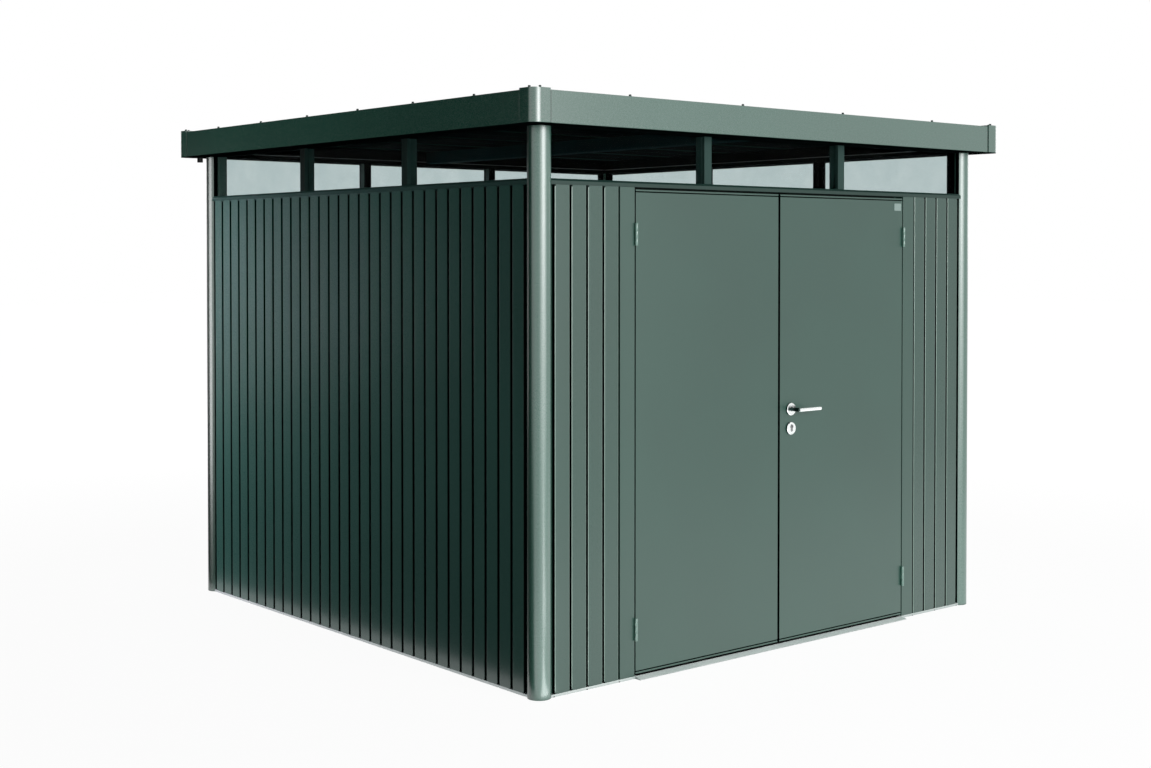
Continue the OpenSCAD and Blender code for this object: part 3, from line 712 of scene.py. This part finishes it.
# Drain spigots
# Moulded black plastic outlets that take the rain from the roof.
# They are pushed up into holes under the rear corners of the roof edge.
spigot_black = (0.010, 0.011, 0.011)
spigot_grey = (0.020, 0.022, 0.022)
spigot_edge = 0.0005
spigot_finish, spigot_nodes, spigot_links, spigot_shader = new_finish("spigot_plastic")
spigot_grain = noise_field(spigot_nodes, spigot_links, 500.0, 2.0)
spigot_tone = blended(spigot_nodes, spigot_links, spigot_grain, spigot_black, spigot_grey)
spigot_links.new(spigot_tone, spigot_shader.inputs["Base Color"])
spigot_gloss = ranged(spigot_nodes, spigot_links, spigot_grain, 0.40, 0.55)
spigot_links.new(spigot_gloss, spigot_shader.inputs["Roughness"])
dress(["drain_spigots"], spigot_finish, spigot_edge)

# Door leaves
# Double-skinned steel leaves, folded at the edges and coated like the walls.
# Their folded edges between the skins and a narrow strip where the leaves meet are painted near black as
# shade in the joints.
leaf_edge = 0.0012
edge_skin = 0.0024
skin_blend = 0.0006
meeting_shade_w = 0.0058
leaf_low, leaf_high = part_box("right_door_leaf")
leaf_front = -leaf_low[1]
leaf_back = -leaf_high[1]


# Painted shade mask: 0 on the leaf edges between the skins and on a strip at the meeting edges, which turn
# near black.
def on_skin(nodes, links):
    along = reach_on(nodes, links, "Y")
    outer = step_up(nodes, links, along, leaf_front - edge_skin, leaf_front - edge_skin + skin_blend)
    inner = step_up(nodes, links, along, leaf_back + edge_skin, leaf_back + edge_skin - skin_blend)
    skin = combined(nodes, links, "MAXIMUM", outer, inner)
    off_meeting_shade = step_up(nodes, links, reach_on(nodes, links, "X"), meeting_shade_w, meeting_shade_w + skin_blend)
    return combined(nodes, links, "MINIMUM", skin, off_meeting_shade)


leaf_finish = green_coating("leaf_coating", coating_green, 0.36, 1.72, on_skin)
dress(["left_door_leaf", "right_door_leaf"], leaf_finish, leaf_edge)

# Door plate
# A small bare anodised aluminium plate with rounded corners and a raised border.
# It is stuck on the right leaf near its upper hinge.
plate_left = 0.741
plate_right = 0.787
plate_foot = 1.816
plate_top = 1.848
plate_t = 0.0012
plate_corner = 0.003
plate_border = 0.0012
plate_dish = 0.0003
plate_edge = 0.0001
dull_plate = (0.27, 0.36, 0.335)
bright_plate = (0.33, 0.43, 0.40)
bpy.ops.object.select_all(action="DESELECT")
bpy.ops.mesh.primitive_cube_add(
    size=1.0,
    location=((plate_left + plate_right) / 2, -leaf_front - plate_t / 2, (plate_foot + plate_top) / 2),
    scale=(plate_right - plate_left, plate_t, plate_top - plate_foot),
)
plate = bpy.context.object
plate.name = "door_plate"
bpy.ops.object.transform_apply(location=True, rotation=True, scale=True)
for corner_edge in plate.data.edges:
    start, end = (plate.data.vertices[v].co for v in corner_edge.vertices)
    corner_edge.select = abs((end - start).normalized().y) > 0.9
for plate_face in plate.data.polygons:
    plate_face.select = False
bpy.ops.object.mode_set(mode="EDIT")
bpy.ops.mesh.select_mode(type="EDGE")
bpy.ops.mesh.bevel(offset=plate_corner, segments=4, affect="EDGES")
pick_faces(plate, lambda centre, normal: normal.y < -0.9)
bpy.ops.mesh.inset(thickness=plate_border)
bpy.ops.mesh.extrude_region_move(TRANSFORM_OT_translate={"value": (0.0, plate_dish, 0.0)})
soften(plate, plate_edge, 1)
plate.data.materials.append(plated_metal("plate_anodised", dull_plate, bright_plate))
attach(plate, "right_door")

# Handle set
# Stainless steel roses and lever on both faces of the right leaf, with a nickel-plated lock cylinder.
# The neck of the lever and the rim of the roses are painted near black as shade by the leaf, and the rest is
# polished.
rose_side = 0.0062
neck_len = 0.0535
neck_blend = 0.0004
lock_edge = 0.0004
neck_and_rim_shade = (0.012, 0.030, 0.027, 1.0)
dull_steel = (0.86, 0.90, 0.89)
bright_steel = (0.94, 0.98, 0.97)
dull_nickel = (0.24, 0.25, 0.25)
bright_nickel = (0.34, 0.35, 0.35)


def polished_steel(name, dark, light, open_air=None):
    finish, nodes, links, shader = new_finish(name)
    grain = noise_field(nodes, links, 900.0, 2.0, (0.05, 1.0, 1.0))
    colour = blended(nodes, links, grain, dark, light)
    # Painted shade: where the mask is 0 the steel turns near black.
    if open_air:
        shade = nodes.new("ShaderNodeMix")
        shade.data_type = "RGBA"
        shade.inputs["A"].default_value = neck_and_rim_shade
        links.new(open_air(nodes, links), shade.inputs["Factor"])
        links.new(colour, shade.inputs["B"])
        colour = shade.outputs["Result"]
    links.new(colour, shader.inputs["Base Color"])
    links.new(ranged(nodes, links, grain, 0.16, 0.28), shader.inputs["Roughness"])
    shader.inputs["Metallic"].default_value = 1.0
    return finish


# Painted shade mask: 0 within the given reach of the leaf's faces.
def clear_of_leaf(reach):
    def mask(nodes, links):
        along = reach_on(nodes, links, "Y")
        outer = step_up(nodes, links, along, leaf_front + reach - neck_blend, leaf_front + reach)
        inner = step_up(nodes, links, along, leaf_back - reach + neck_blend, leaf_back - reach)
        return combined(nodes, links, "MAXIMUM", outer, inner)
    return mask


rose_finish = polished_steel("rose_steel", dull_steel, bright_steel, clear_of_leaf(rose_side))
dress(["handle_roses"], rose_finish, 0.0)
lever_finish = polished_steel("lever_steel", dull_steel, bright_steel, clear_of_leaf(neck_len))
dress(["lever_handle"], lever_finish, 0.0)
lock_finish = polished_steel("lock_nickel", dull_nickel, bright_nickel)
dress(["lock_cylinder"], lock_finish, lock_edge)

# Key slots
# The mouth of the keyway on both faces of the lock cylinder, a black piece with a raised rim that is painted
# shade of the keyway.
# It sits on the cylinder's end.
key_h = 0.0110
key_w = 0.0030
key_out = 0.0006
key_rim = 0.0004
key_dish_share = 0.6
key_edge = 0.0001
key_down = 0.0085
lock_low, lock_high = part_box("lock_cylinder")
lock_x = (lock_low[0] + lock_high[0]) / 2
key_z = lock_high[2] - key_down
key_finish = rubber("key_shadow")
lock_ends = (("key_slot_outer", lock_low[1], -1.0), ("key_slot_inner", lock_high[1], 1.0))
for key_name, key_y, outward in lock_ends:
    bpy.ops.object.select_all(action="DESELECT")
    bpy.ops.mesh.primitive_cube_add(
        size=1.0, location=(lock_x, key_y + outward * key_out / 2, key_z), scale=(key_w, key_out, key_h))
    keyway = bpy.context.object
    keyway.name = key_name
    bpy.ops.object.transform_apply(location=True, rotation=True, scale=True)
    pick_faces(keyway, lambda centre, normal: normal.y * outward > 0.9)
    bpy.ops.mesh.inset(thickness=key_rim)
    key_dish = -outward * key_out * key_dish_share
    bpy.ops.mesh.extrude_region_move(TRANSFORM_OT_translate={"value": (0.0, key_dish, 0.0)})
    soften(keyway, key_edge, 1)
    keyway.data.materials.append(key_finish)
    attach(keyway, "right_door")

# Floor
# A plain pale studio floor that keeps a soft shadow of the shed.
# It glows where it is seen, a little less near the shed, and lights nothing.
floor_size = 90.0
floor_grey = (0.10, 0.10, 0.10, 1.0)
glow_near = 3.0
glow_far = 9.0
glow_low = 0.95
glow_high = 1.0


def seen_directly(nodes, links):
    ray = nodes.new("ShaderNodeLightPath")
    seen = combined(nodes, links, "MAXIMUM", ray.outputs["Is Camera Ray"], ray.outputs["Is Glossy Ray"])
    return combined(nodes, links, "MAXIMUM", seen, ray.outputs["Is Transmission Ray"])


bpy.ops.object.select_all(action="DESELECT")
bpy.ops.mesh.primitive_plane_add(size=floor_size, location=(0.0, 0.0, 0.0))
floor = bpy.context.object
floor.name = "studio_floor"
floor_finish = bpy.data.materials.new("studio_floor_white")
floor_finish.use_nodes = True
floor_nodes = floor_finish.node_tree.nodes
floor_links = floor_finish.node_tree.links
floor_nodes.clear()
floor_out = floor_nodes.new("ShaderNodeOutputMaterial")
floor_sum = floor_nodes.new("ShaderNodeAddShader")
floor_paper = floor_nodes.new("ShaderNodeBsdfDiffuse")
floor_paper.inputs["Color"].default_value = floor_grey
floor_glow = floor_nodes.new("ShaderNodeEmission")
floor_place = floor_nodes.new("ShaderNodeTexCoord")
floor_range = floor_nodes.new("ShaderNodeVectorMath")
floor_range.operation = "LENGTH"
floor_fade = floor_nodes.new("ShaderNodeMapRange")
floor_fade.inputs["From Min"].default_value = glow_near
floor_fade.inputs["From Max"].default_value = glow_far
floor_fade.inputs["To Min"].default_value = glow_low
floor_fade.inputs["To Max"].default_value = glow_high
floor_links.new(floor_place.outputs["Object"], floor_range.inputs[0])
floor_links.new(floor_range.outputs["Value"], floor_fade.inputs["Value"])
floor_seen = seen_directly(floor_nodes, floor_links)
floor_level = combined(floor_nodes, floor_links, "MULTIPLY", floor_seen, floor_fade.outputs["Result"])
floor_links.new(floor_level, floor_glow.inputs["Strength"])
floor_links.new(floor_paper.outputs["BSDF"], floor_sum.inputs[0])
floor_links.new(floor_glow.outputs["Emission"], floor_sum.inputs[1])
floor_links.new(floor_sum.outputs["Shader"], floor_out.inputs["Surface"])
floor.data.materials.append(floor_finish)

# Studio light
# A white surround, two large soft boxes in front, a low bounce and strips for the shine on the posts.
# Smaller boxes light single pieces on the left and the sill, and two large ones the right and the rear.
surround_low = 0.03
surround_high = 1.0
rim_tint = (1.12, 0.97, 1.16)
world = bpy.data.worlds.new("studio_world")
bpy.context.scene.world = world
world.use_nodes = True
world_nodes = world.node_tree.nodes
world_links = world.node_tree.links
world_glow = world_nodes["Background"]
world_glow.inputs["Color"].default_value = (1.0, 1.0, 1.0, 1.0)
world_level = world_nodes.new("ShaderNodeMapRange")
world_level.inputs["To Min"].default_value = surround_low
world_level.inputs["To Max"].default_value = surround_high
world_links.new(seen_directly(world_nodes, world_links), world_level.inputs["Value"])
world_links.new(world_level.outputs["Result"], world_glow.inputs["Strength"])


def soft_box(name, place, target, width, height, power):
    lamp = bpy.data.lights.new(name, "AREA")
    lamp.shape = "RECTANGLE"
    lamp.size = width
    lamp.size_y = height
    lamp.energy = power
    box = bpy.data.objects.new(name, lamp)
    bpy.context.scene.collection.objects.link(box)
    aim = Vector(target) - Vector(place)
    box.location = place
    box.rotation_euler = aim.to_track_quat("-Z", "Y").to_euler()
    box.visible_camera = False
    box.visible_transmission = False
    return box


def light_only(box, node_names):
    lit_nodes = bpy.data.collections.new(box.name + "_lights")
    for node_name in node_names:
        lit_nodes.objects.link(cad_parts[node_name])
    box.light_linking.receiver_collection = lit_nodes


soft_box("key_box", (-0.5, -7.9, 2.25), (0.0, 0.0, 2.0), 8.0, 4.4, 190.0)
soft_box("key_core", (-0.5, -7.8, 2.6), (0.0, 0.0, 1.6), 3.4, 2.2, 112.0)
soft_box("floor_bounce_box", (1.0, -2.49, 0.004), (1.0, -2.49, 3.0), 7.2, 2.4, 24.0)
post_strip = soft_box("post_strip", (-1.0, -3.9, 0.06), (-1.0, -3.9, 3.0), 0.7, 3.6, 21.0)
post_foot_strip = soft_box("post_foot_strip", (-1.22, -1.72, 0.006), (-1.22, -1.72, 3.0), 0.14, 0.80, 1.1)
rear_post_strip = soft_box("rear_post_strip", (-4.8, 2.0, 1.2), (-1.3, 1.3, 1.2), 2.6, 2.6, 84.0)
for shine_strip in (post_strip, post_foot_strip, rear_post_strip):
    shine_strip.visible_diffuse = False
light_only(rear_post_strip, ["corner_post_rear_left"])
rim_box = soft_box("rim_box", (-2.5, 3.0, 1.5), (-1.3, 0.9, 1.3), 1.0, 1.2, 115.0)
rim_box.data.color = rim_tint
light_only(rim_box, ["left_wall", "top_rail_left", "base_rail_left"])
fascia_rim = soft_box("fascia_rim", (-3.6, 1.0, 2.5), (-1.375, 0.2, 2.15), 0.8, 0.8, 12.5)
light_only(fascia_rim, ["fascia_left", "roof_corner_caps"])
for soft_rim in (rim_box, fascia_rim):
    soft_rim.visible_glossy = False
sill_box = soft_box("sill_box", (0.0, -2.2, 2.5), (0.0, -1.3, 0.0), 2.6, 1.2, 27.0)
light_only(sill_box, ["door_sill", "base_rail_front", "base_rail_left"])
soft_box("right_box", (9.0, 0.5, 4.0), (0.0, 0.0, 1.1), 6.0, 5.0, 150.0)
soft_box("rear_box", (1.5, 9.0, 4.0), (0.0, 0.0, 1.1), 6.0, 5.0, 150.0)

# Dark flags
# Matt black cards outside the picture, three standing and one on the floor.
# They take the white surround out of the reflections on the shaded side.
flag_black = (0.005, 0.005, 0.005, 1.0)
flag_top = 10.0
flag_split = 2.2
card_z = 0.002
card_left = -9.5
card_right = -1.40
card_front = -1.3
card_rear = 9.0
flag_finish = bpy.data.materials.new("flag_black")
flag_finish.use_nodes = True
flag_shader = flag_finish.node_tree.nodes["Principled BSDF"]
flag_shader.inputs["Base Color"].default_value = flag_black
flag_shader.inputs["Roughness"].default_value = 1.0


def dark_flag(name, corners):
    bpy.ops.object.select_all(action="DESELECT")
    bpy.ops.mesh.primitive_plane_add(size=2.0, location=(0.0, 0.0, 0.0))
    flag = bpy.context.object
    flag.name = name
    for corner, place in zip(flag.data.vertices, corners):
        corner.co = place
    flag.data.materials.append(flag_finish)
    flag.visible_camera = False
    flag.visible_diffuse = False
    flag.visible_transmission = False
    flag.visible_shadow = False


def standing(start, end, low, high):
    return [(*start, low), (*end, low), (*start, high), (*end, high)]


dark_flag("studio_flag_upright", standing((-8.2, 1.6), (-4.5, 7.9), 0.0, flag_top))
dark_flag("studio_flag_high", standing((-4.5, 7.9), (-0.5, 11.0), flag_split, flag_top))
dark_flag("studio_flag_low", standing((-2.2, 9.3), (2.5, 11.5), 0.0, flag_split))
card_corners = [(x, y, card_z) for y in (card_front, card_rear) for x in (card_left, card_right)]
dark_flag("studio_flag_floor", card_corners)

# Camera
# The photograph's view: a little over eye level in front of the near left corner,
# with the lens shifted down so that the uprights stay upright.
lens = 50.43
lens_shift = -0.0853
camera_place = (-4.920, -5.829, 1.624)
camera_tilt = math.radians(90 - 1.123)
camera_turn = -math.radians(40.017)
camera_data = bpy.data.cameras.new("photo_camera")
camera_data.sensor_width = 36.0
camera_data.lens = lens
camera_data.shift_y = lens_shift
camera = bpy.data.objects.new("photo_camera", camera_data)
bpy.context.scene.collection.objects.link(camera)
camera.location = camera_place
camera.rotation_euler = (camera_tilt, 0.0, camera_turn)
bpy.context.scene.camera = camera

bpy.context.scene.view_settings.view_transform = "Standard"
